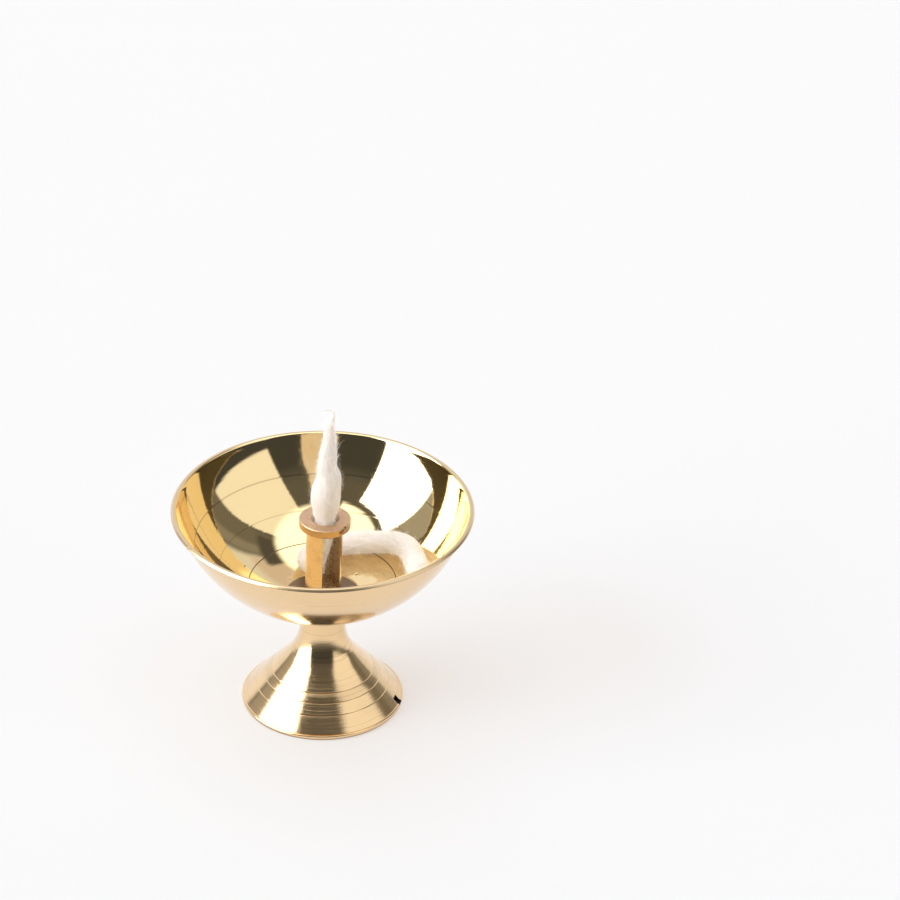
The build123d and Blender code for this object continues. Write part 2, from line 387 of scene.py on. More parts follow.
def stains_group():
    """Cloudy handling marks, and small dark pits, as masks."""
    group, nodes, links, given, result = blank_group(
        "stains", ("Cloud size", "Pit size", "Pit share"), ("Clouds", "Pits")
    )
    place, _ = object_place(nodes, links)
    clouds = nodes.new("ShaderNodeTexNoise")
    clouds.inputs["Detail"].default_value = 6.0
    clouds.inputs["Roughness"].default_value = 0.6
    links.new(place, clouds.inputs["Vector"])
    links.new(calculated(nodes, links, "DIVIDE", 1.0, given["Cloud size"]), clouds.inputs["Scale"])
    links.new(ramp(nodes, links, clouds.outputs["Fac"], *CLOUD_EDGES), result["Clouds"])
    pits = nodes.new("ShaderNodeTexVoronoi")
    links.new(place, pits.inputs["Vector"])
    links.new(calculated(nodes, links, "DIVIDE", 1.0, given["Pit size"]), pits.inputs["Scale"])
    close = ramp(nodes, links, pits.outputs["Distance"], *PIT_EDGES)
    chance = nodes.new("ShaderNodeSeparateColor")
    links.new(pits.outputs["Color"], chance.inputs["Color"])
    chosen = calculated(nodes, links, "LESS_THAN", chance.outputs["Red"], given["Pit share"])
    links.new(calculated(nodes, links, "MULTIPLY", close, chosen), result["Pits"])
    return group


LATHE_LINES = lathe_lines_group()
STAINS = stains_group()


def effect(nodes, group, **values):
    """Places a node group in a material, with its own values."""
    node = nodes.new("ShaderNodeGroup")
    node.node_tree = group
    for name, value in values.items():
        node.inputs[name.replace("_", " ")].default_value = value
    return node


def bumped(nodes, links, heights):
    """One Bump node after another, each with its height socket and its depth in metres."""
    normal = None
    for height, depth in heights:
        bump = nodes.new("ShaderNodeBump")
        bump.inputs["Distance"].default_value = depth
        links.new(height, bump.inputs["Height"])
        if normal:
            links.new(normal, bump.inputs["Normal"])
        normal = bump.outputs["Normal"]
    return normal


def layered(nodes, links, base, layers):
    """A value that starts at the base, and to which each mask adds its own amount."""
    value = base
    for mask, amount in layers:
        value = calculated(nodes, links, "MULTIPLY_ADD", mask, amount, value)
    return value


def turned_brass():
    """Brass straight off the lathe under thin lacquer: fine rings, a soft shine, a few darker lines, and
    a bronze band between the two upper scribed rings. Its lower edge is brown: painted contact shadow."""
    material, nodes, links, shader = blank_material("turned_brass")
    shader.inputs["Metallic"].default_value = 1.0
    shader.inputs["Coat Weight"].default_value = 0.7
    shader.inputs["Coat Roughness"].default_value = 0.14
    _, axes = object_place(nodes, links)
    band_top, band_foot = [(skirt_start.y - ring * cos(SKIRT_ANGLE)) * MM for ring in FOOT_RINGS[:2]]
    under_top = ramp(nodes, links, axes["Z"], band_top, band_top - BAND_EDGE * MM)
    over_foot = ramp(nodes, links, axes["Z"], band_foot, band_foot + BAND_EDGE * MM)
    band = calculated(nodes, links, "MULTIPLY", under_top, over_foot)
    lines = effect(nodes, LATHE_LINES, Outward=-0.6, Upward=1.0, Pitch=0.75 * MM)
    hair = effect(nodes, LATHE_LINES, Outward=-0.6, Upward=1.0, Pitch=0.19 * MM)
    marks = effect(nodes, STAINS, Cloud_size=9 * MM, Pit_size=2.2 * MM, Pit_share=0.06)
    deep, clouds = lines.outputs["Deep"], marks.outputs["Clouds"]
    colour = SATIN_BRASS
    for mask, dullness in ((deep, LINE_DULLNESS), (clouds, CLOUD_DULLNESS), (band, BAND_DULLNESS)):
        dulled = calculated(nodes, links, "MULTIPLY", mask, dullness)
        colour = mixed(nodes, links, dulled, colour, OLD_BRASS)
    # Painted contact shadow: the lowest part of the rolled edge turns brown towards the table.
    contact_shade = ramp(nodes, links, axes["Z"], CONTACT_SHADE_START * MM, CONTACT_SHADE_END * MM)
    links.new(mixed(nodes, links, contact_shade, colour, CONTACT_SHADE_BROWN), shader.inputs["Base Color"])
    rough_layers = [(clouds, CLOUD_ROUGHNESS), (band, BAND_ROUGHNESS)]
    links.new(layered(nodes, links, FOOT_ROUGHNESS, rough_layers), shader.inputs["Roughness"])
    heights = [(lines.outputs["Height"], LINE_DEPTH * MM), (hair.outputs["Height"], HAIR_LINE_DEPTH * MM)]
    links.new(bumped(nodes, links, heights), shader.inputs["Normal"])
    return material


def sooty():
    """The cut sides of a small hole, black with old oil."""
    material, _, _, shader = blank_material("sooty_hole")
    shader.inputs["Base Color"].default_value = (*SOOT, 1)
    shader.inputs["Roughness"].default_value = 0.7
    return material


skirt_drop = (SKIRT_RADIUS - NECK_RADIUS) / tan(SKIRT_ANGLE)
flare_height = EDGE_HEIGHT + skirt_drop + FLARE_RADIUS * tan(SKIRT_ANGLE / 2)
flare_middle = (NECK_RADIUS + FLARE_RADIUS, flare_height)
skirt_slope = Vector((sin(SKIRT_ANGLE), -cos(SKIRT_ANGLE)))
skirt_outward = Vector((cos(SKIRT_ANGLE), sin(SKIRT_ANGLE)))
skirt_start = Vector(flare_middle) - FLARE_RADIUS * skirt_outward
skirt_length = (Vector((SKIRT_RADIUS, EDGE_HEIGHT)) - skirt_start).length


def skirt(along, sink):
    """The straight skirt, with a slight swell in the band between the two upper rings."""
    share = (along - FOOT_RINGS[0]) / (FOOT_RINGS[1] - FOOT_RINGS[0])
    swell = BAND_SWELL * 4 * share * (1 - share) if 0 < share < 1 else 0.0
    return tuple(skirt_start + along * skirt_slope + (swell - sink) * skirt_outward)


hollow_radius = SKIRT_RADIUS + EDGE_HEIGHT * tan(SKIRT_ANGLE) - SKIRT_WALL / cos(SKIRT_ANGLE)
nut_seat_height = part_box("clamp_nut")[1].z / MM
nut_seat_radius = hollow_radius - nut_seat_height * tan(SKIRT_ANGLE)
edge_middle = EDGE_RADIUS - EDGE_ROUND
ring_depths = [RING_DEPTH] * len(FOOT_RINGS)
foot_outline = [
    (NECK_RADIUS, FOOT_TOP),
    *arc(flare_middle, FLARE_RADIUS, 180, 180 + degrees(SKIRT_ANGLE), FLARE_STEPS)[:-1],
    *scribed(skirt, skirt_length, SKIRT_STEPS, FOOT_RINGS, RING_WIDTH, ring_depths),
    *arc((edge_middle, EDGE_HEIGHT - EDGE_ROUND), EDGE_ROUND, 90, 0, EDGE_STEPS),
    *arc((edge_middle, EDGE_ROUND), EDGE_ROUND, 0, -90, EDGE_STEPS),
    (hollow_radius, 0),
    (nut_seat_radius, nut_seat_height),
    (STUD_HOLE_RADIUS, nut_seat_height),
    (STUD_HOLE_RADIUS, FOOT_TOP),
]
foot = turned("turned_foot", foot_outline)
pinhole_middle = (SKIRT_RADIUS - PINHOLE_SIZE[0] / 4, 0, PINHOLE_HEIGHT + PINHOLE_SIZE[2] / 2)
foot.data.materials.append(turned_brass())
foot.data.materials.append(sooty())
hole = block(PINHOLE_SIZE, pinhole_middle, PINHOLE_BEARING)
hole.data.materials.append(foot.data.materials["sooty_hole"])
cut(foot, hole)
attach(foot, "lamp")
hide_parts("foot")

# Bowl: a thin sheet of brass spun to a round wall over a small flat floor, with a narrow out-turned lip.
# It is buffed to a mirror inside and left satin outside, with three thin scribed rings inside and one
# outside. Each ring's place is a share of the way along the wall.
BOWL_FLOOR_RADIUS = 8.9
BOWL_FLOOR_WALL = 0.9
BOWL_FLOOR = FOOT_TOP + BOWL_FLOOR_WALL
BOWL_CENTRE = 62.61
BOWL_RADIUS = 35.35
OUTER_CENTRE = (-0.77, 62.67)
OUTER_RADIUS = 36.48
RIM_HEIGHT = 52.1
MOUTH_RADIUS = 33.75
MOUTH_ROUND = 0.45
MOUTH_INSET = 0.3375
MOUTH_STEPS = 6
LIP_RADIUS = 35.0
LIP_HEIGHT = 0.7
LIP_ROUND = 0.25
LIP_UNDER_ROUND = 0.15
LIP_FACE_SLOPE = 52
LIP_STEPS = 5
LIP_UNDER_STEPS = 7
INNER_RINGS = (0.25, 0.48, 0.725)
INNER_RING_DEPTHS = (0.03, 0.006, 0.008)
INNER_RING_DARKNESS = (0.95, 0.25, 0.35)
RING_BROWN = (0.12, 0.08, 0.04)
OUTER_RING = 0.18
OUTER_RING_DEPTH = 0.03
SCRIBE_WIDTH = 0.18
RING_STAIN_START = 0.75 * SCRIBE_WIDTH
RING_STAIN_END = 0.4 * SCRIBE_WIDTH
BOWL_STEPS = 72
LIP_TOP = (0.75, 0.56, 0.33)
FOLLOWED_BOUNCES = 4
LATE_GLOW_LEFT = (1.0, 0.72, 0.38)
LATE_GLOW_RIGHT = (1.0, 0.97, 0.85)
FLOOR_BROWN = (0.24, 0.17, 0.12)
FLOOR_EDGE = 0.12
LIP_EDGE = 0.06
SKIN_DEPTH = 0.15
SKIN_EDGE = 0.1
BOWL_CLOUDS = 0.06
MIRROR_ROUGHNESS = 0.045
SMEAR_ROUGHNESS = 0.02
SATIN_ROUGHNESS = 0.13
LIP_ROUGHNESS = 0.12
FLOOR_ROUGHNESS = 0.4
MIRROR_COAT = 0.35
SATIN_COAT = 0.3
SATIN_DEPTH = 0.012
WAVE_DEPTH = 0.006
BOWL_PIT_DEPTH = 0.02


def polished_brass():
    """Buffed and lacquered brass: a clear mirror inside with pits and darker scribed rings, brown round
    the post where the buff can't reach, satin with fine turned lines outside, and a duller lip. Light
    that runs round under the rim, from face to face, takes more bounces than are followed, so the last
    one glows."""
    material, nodes, links, shader = blank_material("polished_brass")
    shader.inputs["Metallic"].default_value = 1.0
    shader.inputs["Coat Roughness"].default_value = 0.08
    shader.inputs["Emission Strength"].default_value = 1.0
    place, axes = object_place(nodes, links)
    from_centre = nodes.new("ShaderNodeVectorMath")
    from_centre.operation = "DISTANCE"
    from_centre.inputs[1].default_value = (0, 0, BOWL_CENTRE * MM)
    links.new(place, from_centre.inputs[0])
    skin = BOWL_RADIUS + SKIN_DEPTH
    spread = from_centre.outputs["Value"]
    outside = ramp(nodes, links, spread, (skin - SKIN_EDGE) * MM, (skin + SKIN_EDGE) * MM)
    inside = calculated(nodes, links, "SUBTRACT", 1.0, outside)
    reach = from_axis(nodes, links, axes)
    floor_edge = (BOWL_FLOOR_RADIUS - FLOOR_EDGE) * MM
    near_post = ramp(nodes, links, reach, BOWL_FLOOR_RADIUS * MM, floor_edge)
    on_floor = calculated(nodes, links, "MULTIPLY", near_post, inside)
    lip_start = MOUTH_RADIUS + MOUTH_INSET
    past_mouth = ramp(nodes, links, reach, (lip_start - LIP_EDGE) * MM, (lip_start + LIP_EDGE) * MM)
    high = ramp(nodes, links, axes["Z"], (lip_under - LIP_EDGE) * MM, (lip_under - LIP_EDGE / 3) * MM)
    on_lip = calculated(nodes, links, "MULTIPLY", past_mouth, high)
    lines = effect(nodes, LATHE_LINES, Outward=0.5, Upward=1.0, Pitch=0.55 * MM)
    waves = effect(nodes, LATHE_LINES, Outward=0.7, Upward=0.7, Pitch=1.3 * MM)
    marks = effect(nodes, STAINS, Cloud_size=14 * MM, Pit_size=2.6 * MM, Pit_share=0.05)
    clouds, pits = marks.outputs["Clouds"], marks.outputs["Pits"]
    colour = mixed(nodes, links, outside, BRASS, SATIN_BRASS)
    smeared = calculated(nodes, links, "MULTIPLY", clouds, BOWL_CLOUDS)
    colour = mixed(nodes, links, smeared, colour, OLD_BRASS)
    colour = mixed(nodes, links, pits, colour, OLD_BRASS)
    for ring, darkness in zip(inner_rings, INNER_RING_DARKNESS):
        away = calculated(nodes, links, "SUBTRACT", reach, inner_wall(ring, 0)[0] * MM)
        off = calculated(nodes, links, "ABSOLUTE", away)
        line = ramp(nodes, links, off, RING_STAIN_START * MM, RING_STAIN_END * MM)
        line_inside = calculated(nodes, links, "MULTIPLY", line, inside)
        share = calculated(nodes, links, "MULTIPLY", line_inside, darkness)
        colour = mixed(nodes, links, share, colour, RING_BROWN)
    colour = mixed(nodes, links, on_lip, colour, LIP_TOP)
    colour = mixed(nodes, links, on_floor, colour, FLOOR_BROWN)
    links.new(colour, shader.inputs["Base Color"])
    rough_layers = [
        (clouds, SMEAR_ROUGHNESS),
        (outside, SATIN_ROUGHNESS),
        (on_lip, LIP_ROUGHNESS),
        (on_floor, FLOOR_ROUGHNESS),
    ]
    links.new(layered(nodes, links, MIRROR_ROUGHNESS, rough_layers), shader.inputs["Roughness"])
    links.new(layered(nodes, links, MIRROR_COAT, [(outside, SATIN_COAT)]), shader.inputs["Coat Weight"])
    satin = calculated(nodes, links, "MULTIPLY", lines.outputs["Height"], outside)
    heights = [
        (satin, SATIN_DEPTH * MM),
        (waves.outputs["Height"], WAVE_DEPTH * MM),
        (pits, -BOWL_PIT_DEPTH * MM),
    ]
    links.new(bumped(nodes, links, heights), shader.inputs["Normal"])
    path = nodes.new("ShaderNodeLightPath")
    late = calculated(nodes, links, "GREATER_THAN", path.outputs["Glossy Depth"], FOLLOWED_BOUNCES - 1)
    right_side = ramp(nodes, links, axes["X"], -BOWL_FLOOR_RADIUS * MM, BOWL_FLOOR_RADIUS * MM)
    glow = mixed(nodes, links, right_side, LATE_GLOW_LEFT, LATE_GLOW_RIGHT)
    links.new(mixed(nodes, links, late, (0.0, 0.0, 0.0), glow), shader.inputs["Emission Color"])
    return material


def wall_angle(drop, curve):
    """The angle below level, in degrees, at which a wall of that curve is that far below its centre."""
    return -degrees(asin(drop / curve))


inner_start = wall_angle(BOWL_CENTRE - BOWL_FLOOR, BOWL_RADIUS)
inner_end = wall_angle(BOWL_CENTRE - RIM_HEIGHT, BOWL_RADIUS)
outer_start = wall_angle(OUTER_CENTRE[1] - RIM_HEIGHT + LIP_HEIGHT, OUTER_RADIUS)
outer_end = wall_angle(OUTER_CENTRE[1] - FOOT_TOP, OUTER_RADIUS)
lip_under = RIM_HEIGHT - LIP_HEIGHT
mouth_turn = 180 + inner_end


def inner_wall(along, sink):
    """A point of the wall's inside, at a distance up it from the floor."""
    turn = radians(inner_start) + along / BOWL_RADIUS
    return ((BOWL_RADIUS + sink) * cos(turn), BOWL_CENTRE + (BOWL_RADIUS + sink) * sin(turn))


def outer_wall(along, sink):
    """A point of the wall's outside, at a distance down it from the lip."""
    turn = radians(outer_start) - along / OUTER_RADIUS
    curve = OUTER_RADIUS - sink
    return (OUTER_CENTRE[0] + curve * cos(turn), OUTER_CENTRE[1] + curve * sin(turn))


inner_length = radians(inner_end - inner_start) * BOWL_RADIUS
outer_length = radians(outer_start - outer_end) * OUTER_RADIUS
inner_rings = [place * inner_length for place in INNER_RINGS]
outer_rings = [OUTER_RING * outer_length]
mouth_middle = (MOUTH_RADIUS + MOUTH_INSET, RIM_HEIGHT - MOUTH_ROUND)
lip_under_middle = (LIP_RADIUS - LIP_UNDER_ROUND, lip_under + LIP_UNDER_ROUND)
lip_middle_height = RIM_HEIGHT - LIP_ROUND
lip_face_rise = (lip_middle_height - lip_under_middle[1]) * cos(radians(LIP_FACE_SLOPE))
lip_setback = (LIP_ROUND - LIP_UNDER_ROUND + lip_face_rise) / sin(radians(LIP_FACE_SLOPE))
lip_middle = (lip_under_middle[0] - lip_setback, lip_middle_height)
inner_rise = inner_length - MOUTH_ROUND
inner_skin = scribed(inner_wall, inner_rise, BOWL_STEPS, inner_rings, SCRIBE_WIDTH, INNER_RING_DEPTHS)
outer_skin = scribed(outer_wall, outer_length, BOWL_STEPS, outer_rings, SCRIBE_WIDTH, [OUTER_RING_DEPTH])
bowl_outline = [
    (STUD_HOLE_RADIUS, BOWL_FLOOR),
    *inner_skin[:-1],
    *arc(mouth_middle, MOUTH_ROUND, mouth_turn, 90, MOUTH_STEPS),
    *arc(lip_middle, LIP_ROUND, 90, 90 - LIP_FACE_SLOPE, LIP_STEPS),
    *arc(lip_under_middle, LIP_UNDER_ROUND, 90 - LIP_FACE_SLOPE, -90, LIP_UNDER_STEPS),
    *outer_skin,
    (STUD_HOLE_RADIUS, FOOT_TOP),
]
bowl = turned("spun_bowl", bowl_outline)
bowl.data.materials.append(polished_brass())
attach(bowl, "lamp")
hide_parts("bowl")

# Wick post: a cast brass tube with a turned skin and flange, slotted through both walls for the wick.
# The slot and bore are left as cast, and the flange's top is filed flat. Its stud goes through the bowl.
POST_RADIUS = 4.2
POST_BORE = 2.8
BORE_BEVEL = 0.55
SLOT_SILL = 3.0
SLOT_FLOOR = BOWL_FLOOR + SLOT_SILL
FLANGE_TOP = 49.3
FLANGE_UNDER = 47.3
FLANGE_RADIUS = 6.0
FLANGE_BEVEL = 0.2
STUD_RADIUS = 3.0
SLOT_WIDTH = 4.8
SLOT_BEARING = radians(120)
SLOT_SINK = 0.06
SLOT_ROUGHNESS = 0.12
SLOT_CUTS = 14
ROUGH_SEED = 4
POST_SIDES = 128
POST_LEAN = radians(1.5)
LEAN_MARGIN = 0.01
CHIP_SIZE = (0.8, 0.75, 0.6)
CHIP_CUTS = 2
CAST_SKIN = (0.57, 0.395, 0.215)
CAST_FLANGE = (0.45, 0.275, 0.135)
CAST_STAIN = (0.40, 0.24, 0.105)
CAST_PIT = (0.16, 0.09, 0.04)
STAIN_STRENGTH = 0.45
FLANGE_SHADE = 0.3
CAST_ROUGHNESS = 0.26
STAIN_ROUGHNESS = 0.2
CAST_LINE_DEPTH = 0.006
CAST_PIT_DEPTH = 0.05
FILED_BRASS = (0.65, 0.45, 0.30)
FILED_GRAIN = (0.51, 0.34, 0.22)
FILED_PIT = (0.42, 0.27, 0.16)
FILED_GRAIN_DEPTH = 0.03
FILED_PIT_DEPTH = 0.05
FILED_UPWARD = 0.5
RAW_BRASS = (0.62, 0.45, 0.25)
RAW_SOOT = (0.16, 0.105, 0.05)
RAW_PIT = (0.04, 0.022, 0.01)
RAW_GRAIN_DEPTH = 0.25
RAW_PIT_DEPTH = 0.2
RAW_REACH = 0.985 * POST_RADIUS
# Each chip in the flange's edge: its bearing, and how far it sits below the top.
CHIPS = ((radians(-40), 0.2), (radians(-46), 0.5), (radians(-53), 0.9))


def cast_skin():
    """Turned brass over a casting: warm, soft shine, with brown stains and pits and a browner flange."""
    material, nodes, links, shader = blank_material("cast_skin")
    shader.inputs["Metallic"].default_value = 1.0
    _, axes = object_place(nodes, links)
    lines = effect(nodes, LATHE_LINES, Outward=0.3, Upward=1.0, Pitch=0.3 * MM)
    marks = effect(nodes, STAINS, Cloud_size=4.5 * MM, Pit_size=0.9 * MM, Pit_share=0.12)
    clouds, pits = marks.outputs["Clouds"], marks.outputs["Pits"]
    flange = ramp(nodes, links, axes["Z"], (FLANGE_UNDER - FLANGE_SHADE) * MM, FLANGE_UNDER * MM)
    colour = mixed(nodes, links, flange, CAST_SKIN, CAST_FLANGE)
    stain = calculated(nodes, links, "MULTIPLY", clouds, STAIN_STRENGTH)
    colour = mixed(nodes, links, stain, colour, CAST_STAIN)
    links.new(mixed(nodes, links, pits, colour, CAST_PIT), shader.inputs["Base Color"])
    rough = layered(nodes, links, CAST_ROUGHNESS, [(clouds, STAIN_ROUGHNESS)])
    links.new(rough, shader.inputs["Roughness"])
    heights = [(lines.outputs["Height"], CAST_LINE_DEPTH * MM), (pits, -CAST_PIT_DEPTH * MM)]
    links.new(bumped(nodes, links, heights), shader.inputs["Normal"])
    return material


def filed_face():
    """The filed top of the flange: matt, pinkish, with grains of darker metal."""
    material, nodes, links, shader = blank_material("filed_face")
    shader.inputs["Metallic"].default_value = 1.0
    shader.inputs["Roughness"].default_value = 0.55
    marks = effect(nodes, STAINS, Cloud_size=0.9 * MM, Pit_size=0.45 * MM, Pit_share=0.3)
    clouds, pits = marks.outputs["Clouds"], marks.outputs["Pits"]
    mottled = mixed(nodes, links, clouds, FILED_BRASS, FILED_GRAIN)
    links.new(mixed(nodes, links, pits, mottled, FILED_PIT), shader.inputs["Base Color"])
    heights = [(clouds, FILED_GRAIN_DEPTH * MM), (pits, -FILED_PIT_DEPTH * MM)]
    links.new(bumped(nodes, links, heights), shader.inputs["Normal"])
    return material


def raw_casting():
    """The unworked inside of the casting: brown, sooty and grainy."""
    material, nodes, links, shader = blank_material("raw_casting")
    shader.inputs["Metallic"].default_value = 0.8
    shader.inputs["Roughness"].default_value = 0.6
    marks = effect(nodes, STAINS, Cloud_size=0.7 * MM, Pit_size=0.5 * MM, Pit_share=0.5)
    clouds, pits = marks.outputs["Clouds"], marks.outputs["Pits"]
    mottled = mixed(nodes, links, clouds, RAW_BRASS, RAW_SOOT)
    links.new(mixed(nodes, links, pits, mottled, RAW_PIT), shader.inputs["Base Color"])
    heights = [(clouds, RAW_GRAIN_DEPTH * MM), (pits, -RAW_PIT_DEPTH * MM)]
    links.new(bumped(nodes, links, heights), shader.inputs["Normal"])
    return material


def roughened(piece, cuts, depth):
    """Breaks up the faces of a plain block, so that what it cuts has uneven sides and ragged edges."""
    bpy.ops.object.mode_set(mode="EDIT")
    bpy.ops.mesh.select_all(action="SELECT")
    bpy.ops.mesh.subdivide(number_cuts=cuts)
    bpy.ops.transform.vertex_random(offset=depth * MM, seed=ROUGH_SEED)
    bpy.ops.object.mode_set(mode="OBJECT")
    return piece


def leaned(piece, height, angle):
    """Tips all of a piece above a height to the right, as the post was fixed by hand."""
    bpy.ops.object.select_all(action="DESELECT")
    piece.select_set(True)
    bpy.context.view_layer.objects.active = piece
    bpy.ops.object.mode_set(mode="EDIT")
    bpy.ops.mesh.select_all(action="DESELECT")
    bpy.ops.object.mode_set(mode="OBJECT")
    for vertex in piece.data.vertices:
        vertex.select = vertex.co.z > (height + LEAN_MARGIN) * MM
    bpy.ops.object.mode_set(mode="EDIT")
    bpy.ops.transform.rotate(value=-angle, orient_axis="Y", center_override=(0, 0, height * MM))
    bpy.ops.object.mode_set(mode="OBJECT")


stud_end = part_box("wick_post")[0].z / MM
post_outline = [
    (0, stud_end),
    (STUD_RADIUS - FLANGE_BEVEL, stud_end),
    (STUD_RADIUS, stud_end + FLANGE_BEVEL),
    (STUD_RADIUS, BOWL_FLOOR),
    (POST_RADIUS, BOWL_FLOOR),
    (POST_RADIUS, FLANGE_UNDER),
    (FLANGE_RADIUS - FLANGE_BEVEL, FLANGE_UNDER),
    (FLANGE_RADIUS, FLANGE_UNDER + FLANGE_BEVEL),
    (FLANGE_RADIUS, FLANGE_TOP - FLANGE_BEVEL),
    (FLANGE_RADIUS - FLANGE_BEVEL, FLANGE_TOP),
    (POST_BORE + BORE_BEVEL, FLANGE_TOP),
    (POST_BORE, FLANGE_TOP - BORE_BEVEL),
    (POST_BORE, SLOT_FLOOR),
    (0, SLOT_FLOOR),
]
post = turned("slotted_post", post_outline, sides=POST_SIDES)
slot_size = (4 * POST_RADIUS, SLOT_WIDTH, FLANGE_UNDER - SLOT_FLOOR)
slot_middle = (0, 0, (FLANGE_UNDER + SLOT_FLOOR) / 2 - SLOT_SINK)
for material in (cast_skin(), filed_face(), raw_casting()):
    post.data.materials.append(material)
slot = roughened(block(slot_size, slot_middle, SLOT_BEARING), SLOT_CUTS, SLOT_ROUGHNESS)
slot.data.materials.append(post.data.materials["raw_casting"])
cut(post, slot)
for bearing, drop in CHIPS:
    chip_middle = (FLANGE_RADIUS, 0, FLANGE_TOP - drop)
    chip = roughened(block(CHIP_SIZE, chip_middle, bearing), CHIP_CUTS, SLOT_ROUGHNESS)
    chip.data.materials.append(post.data.materials["raw_casting"])
    cut(post, chip)
filed_index = post.data.materials.find("filed_face")
raw_index = post.data.materials.find("raw_casting")
for face in post.data.polygons:
    reach = hypot(face.center.x, face.center.y) / MM
    height = face.center.z / MM
    if face.normal.z > FILED_UPWARD and height > FLANGE_TOP - FLANGE_BEVEL:
        face.material_index = filed_index
    elif BOWL_FLOOR < height < FLANGE_TOP and reach < RAW_REACH:
        face.material_index = raw_index
leaned(post, BOWL_FLOOR, POST_LEAN)
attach(post, "lamp")
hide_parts("wick_post")

# Nut: a small hexagon nut inside the foot, run up the post's stud to clamp foot, bowl and post together.
# It is plain machined brass, dull from handling, and keeps its solid's own shape.
NUT_ROUGHNESS = 0.3
NUT_PIT_DEPTH = 0.03


def nut_brass():
    """Machined brass, a little dull."""
    material, nodes, links, shader = blank_material("nut_brass")
    shader.inputs["Metallic"].default_value = 1.0
    marks = effect(nodes, STAINS, Cloud_size=3 * MM, Pit_size=0.8 * MM, Pit_share=0.1)
    clouds, pits = marks.outputs["Clouds"], marks.outputs["Pits"]
    links.new(mixed(nodes, links, clouds, BRASS, OLD_BRASS), shader.inputs["Base Color"])
    rough = layered(nodes, links, NUT_ROUGHNESS, [(clouds, STAIN_ROUGHNESS)])
    links.new(rough, shader.inputs["Roughness"])
    links.new(bumped(nodes, links, [(pits, -NUT_PIT_DEPTH * MM)]), shader.inputs["Normal"])
    return material


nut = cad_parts["clamp_nut"]
nut.data.materials.clear()
nut.data.materials.append(nut_brass())

# Standing wick: a roll of loose cotton drawn up through the post, fat where it leaves the flange and
# pulled out to a curled wisp at the top. Inside the post it bends back into the tail.
# Each step: across, back and up in millimetres, and the roll's radius there.
WICK_STEPS = [
    (-1.75, 3.05, 34.0, 1.7),
    (-1.6, 2.8, 35.6, 2.1),
    (-1.3, 2.2, 37.6, 2.3),
    (-0.8, 1.4, 40.0, 2.4),
    (-0.1, 0.5, 43.5, 2.5),
    (0.45, 0.3, 47.5, 2.4),
    (0.6, 0.35, 49.4, 2.3),
    (0.6, 0.4, 51.2, 2.9),
    (0.55, 0.4, 53.9, 3.45),
    (0.85, 0.4, 57.0, 3.3),
    (1.55, 0.35, 60.2, 2.75),
    (1.0, 0.3, 62.8, 2.2),
    (1.2, 0.2, 66.0, 2.05),
    (1.5, 0.15, 69.0, 1.6),
    (1.5, 0.1, 72.0, 1.3),
    (1.7, 0.1, 74.4, 0.98),
    (2.4, 0.1, 76.2, 0.38),
    (2.6, 0.1, 77.8, 0.12),
    (0.9, 0.0, 78.3, 0.08),
    (-0.5, 0.0, 77.8, 0.04),
]
COTTON = (0.87, 0.825, 0.785)
COTTON_SHADE = (0.79, 0.735, 0.685)
SHADE_EDGES = (0.62, 0.35)
SHADE_STRENGTH = 0.6
COTTON_GLOW = 0.09
HAIR_GLOW = 0.4
FLUFF_SIZE = 0.5 * MM
FLUFF_DEPTH = 0.16 * MM
STREAK_DEPTH = 0.25 * MM
ROLL_SIDES = 64
LUMP_HEIGHT = 0.2 * MM
RIDGE_HEIGHT = 0.16 * MM
FULL_HEIGHT_RADIUS = 2 * MM
THINNEST = 0.02 * MM
TWIST_PER_MM = 0.04
PRESSED_GAP = 0.06
COTTON_SEED = 7
FIBRE_RADIUS = 0.018 * MM
HAIR_STEPS = 3
HAIR_SCALES = (0.4 * MM, 1.0 * MM)
HAIR_ROOT = 0.92
HAIR_SLANT = 0.9
HAIR_CURL = 0.8
HAIR_TAPER = 0.6
# Noise on the roll: the ring that it is read round, and how far it moves on for each millimetre.
STREAKS = (3.0, 0.5)
LUMPS = (1.2, 0.42)
RIDGES = (8.0, 0.35)


